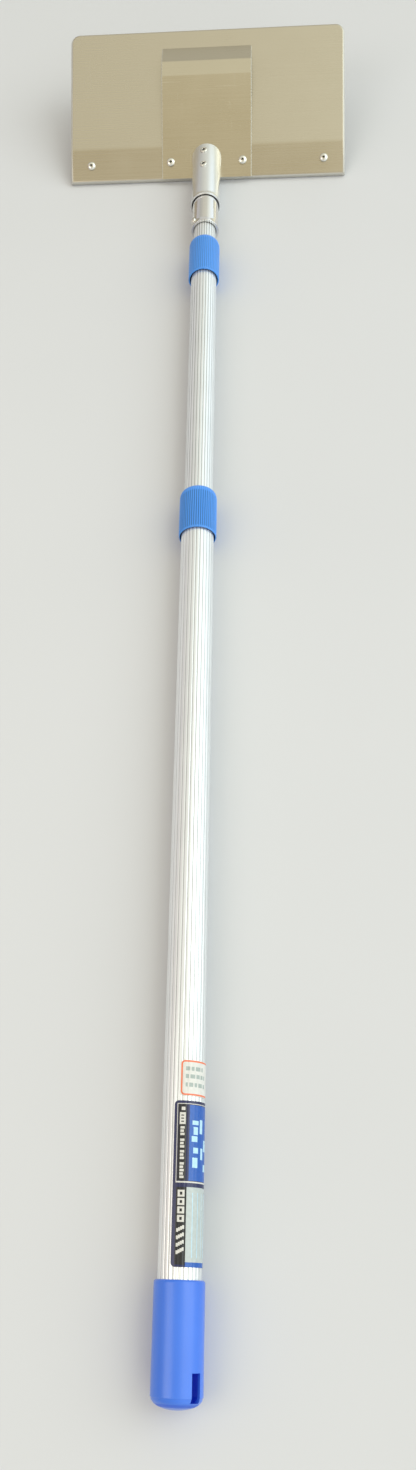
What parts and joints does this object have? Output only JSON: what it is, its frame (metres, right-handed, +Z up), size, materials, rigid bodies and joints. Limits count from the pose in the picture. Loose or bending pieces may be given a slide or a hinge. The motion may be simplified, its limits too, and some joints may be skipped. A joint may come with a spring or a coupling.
{
  "type": "roof snow rake",
  "caption": "Telescopic snow rake: bent aluminium sheet blade on a plate bracket with a pole socket, three fluted tubes, two blue twist locks and a blue capped grip with a hanging slot.",
  "frame": {"origin": "centre of the footprint on the ground, midway along the rake", "axes": "+Y along the pole from the grip to the blade, +Z up from the ground, +X to the right as seen from the grip"},
  "size_m": [0.333, 1.4478, 0.0866],
  "materials": {
    "tube_aluminium": "satin anodised, fine draw lines along the flutes",
    "socket_aluminium": "satin drawn pipe",
    "sleeve_steel": "polished zinc plated tube",
    "blue_plastic": "moulded blue polypropylene, satin",
    "black_plastic": "moulded black nylon",
    "white_plastic": "natural nylon",
    "label_film": "printed gloss film, abstract blocks",
    "sticker_paper": "coated paper sticker",
    "blade_sheet": "satin rolled sheet with light scratches",
    "bracket_sheet": "satin rolled sheet with light scratches",
    "weld_metal": "rippled weld bead",
    "spring_steel": "spring strip",
    "button_steel": "zinc plated",
    "rivet_steel": "bright rivet",
    "screw_zinc": "bright zinc plated"
  },
  "bodies": {
    "lower_pole": {"lower_tube": "tube_aluminium", "grip_cap": "blue_plastic", "main_label": "label_film", "price_sticker": "sticker_paper", "lower_lock_ferrule": "black_plastic", "lower_lock_collet": "white_plastic"},
    "lower_lock": {"lower_lock_nut": "blue_plastic"},
    "middle_pole": {"middle_tube": "tube_aluminium", "middle_tube_bush": "black_plastic", "upper_lock_ferrule": "black_plastic", "upper_lock_collet": "white_plastic"},
    "upper_lock": {"upper_lock_nut": "blue_plastic"},
    "upper_pole": {"upper_tube": "tube_aluminium", "upper_tube_bush": "black_plastic", "button_spring": "spring_steel", "socket_sleeve": "sleeve_steel", "socket_pipe": "socket_aluminium", "socket_rivet_1": "rivet_steel", "socket_rivet_2": "rivet_steel", "socket_weld_left": "weld_metal", "socket_weld_right": "weld_metal", "bracket_plate": "bracket_sheet", "blade": "blade_sheet", "screw_1": "screw_zinc", "washer_1": "screw_zinc", "nut_1": "screw_zinc", "screw_2": "screw_zinc", "washer_2": "screw_zinc", "nut_2": "screw_zinc", "screw_3": "screw_zinc", "washer_3": "screw_zinc", "nut_3": "screw_zinc", "screw_4": "screw_zinc", "washer_4": "screw_zinc", "nut_4": "screw_zinc"},
    "release_button": {"release_button": "button_steel"}
  },
  "joints": [
    {"name": "lower_lock_turn", "type": "hinge", "parent": "lower_pole", "child": "lower_lock", "pos_m": [0, 0.0361, 0.0185], "axis": [0, 1, 0], "range_deg": [0, 120]},
    {"name": "lower_extension", "type": "slide", "parent": "lower_pole", "child": "middle_pole", "axis": [0, 1, 0], "range_m": [-0.296, 0.33]},
    {"name": "upper_lock_turn", "type": "hinge", "parent": "middle_pole", "child": "upper_lock", "pos_m": [0, 0.3961, 0.0185], "axis": [0, 1, 0], "range_deg": [0, 120]},
    {"name": "upper_extension", "type": "slide", "parent": "middle_pole", "child": "upper_pole", "axis": [0, 1, 0], "range_m": [-0.019, 0.57]},
    {"name": "button_press", "type": "slide", "parent": "upper_pole", "child": "release_button", "axis": [0.866, 0, -0.5], "range_m": [0, 0.0053], "stiffness_N_per_m": 2500, "springref_m": -0.003}
  ]
}
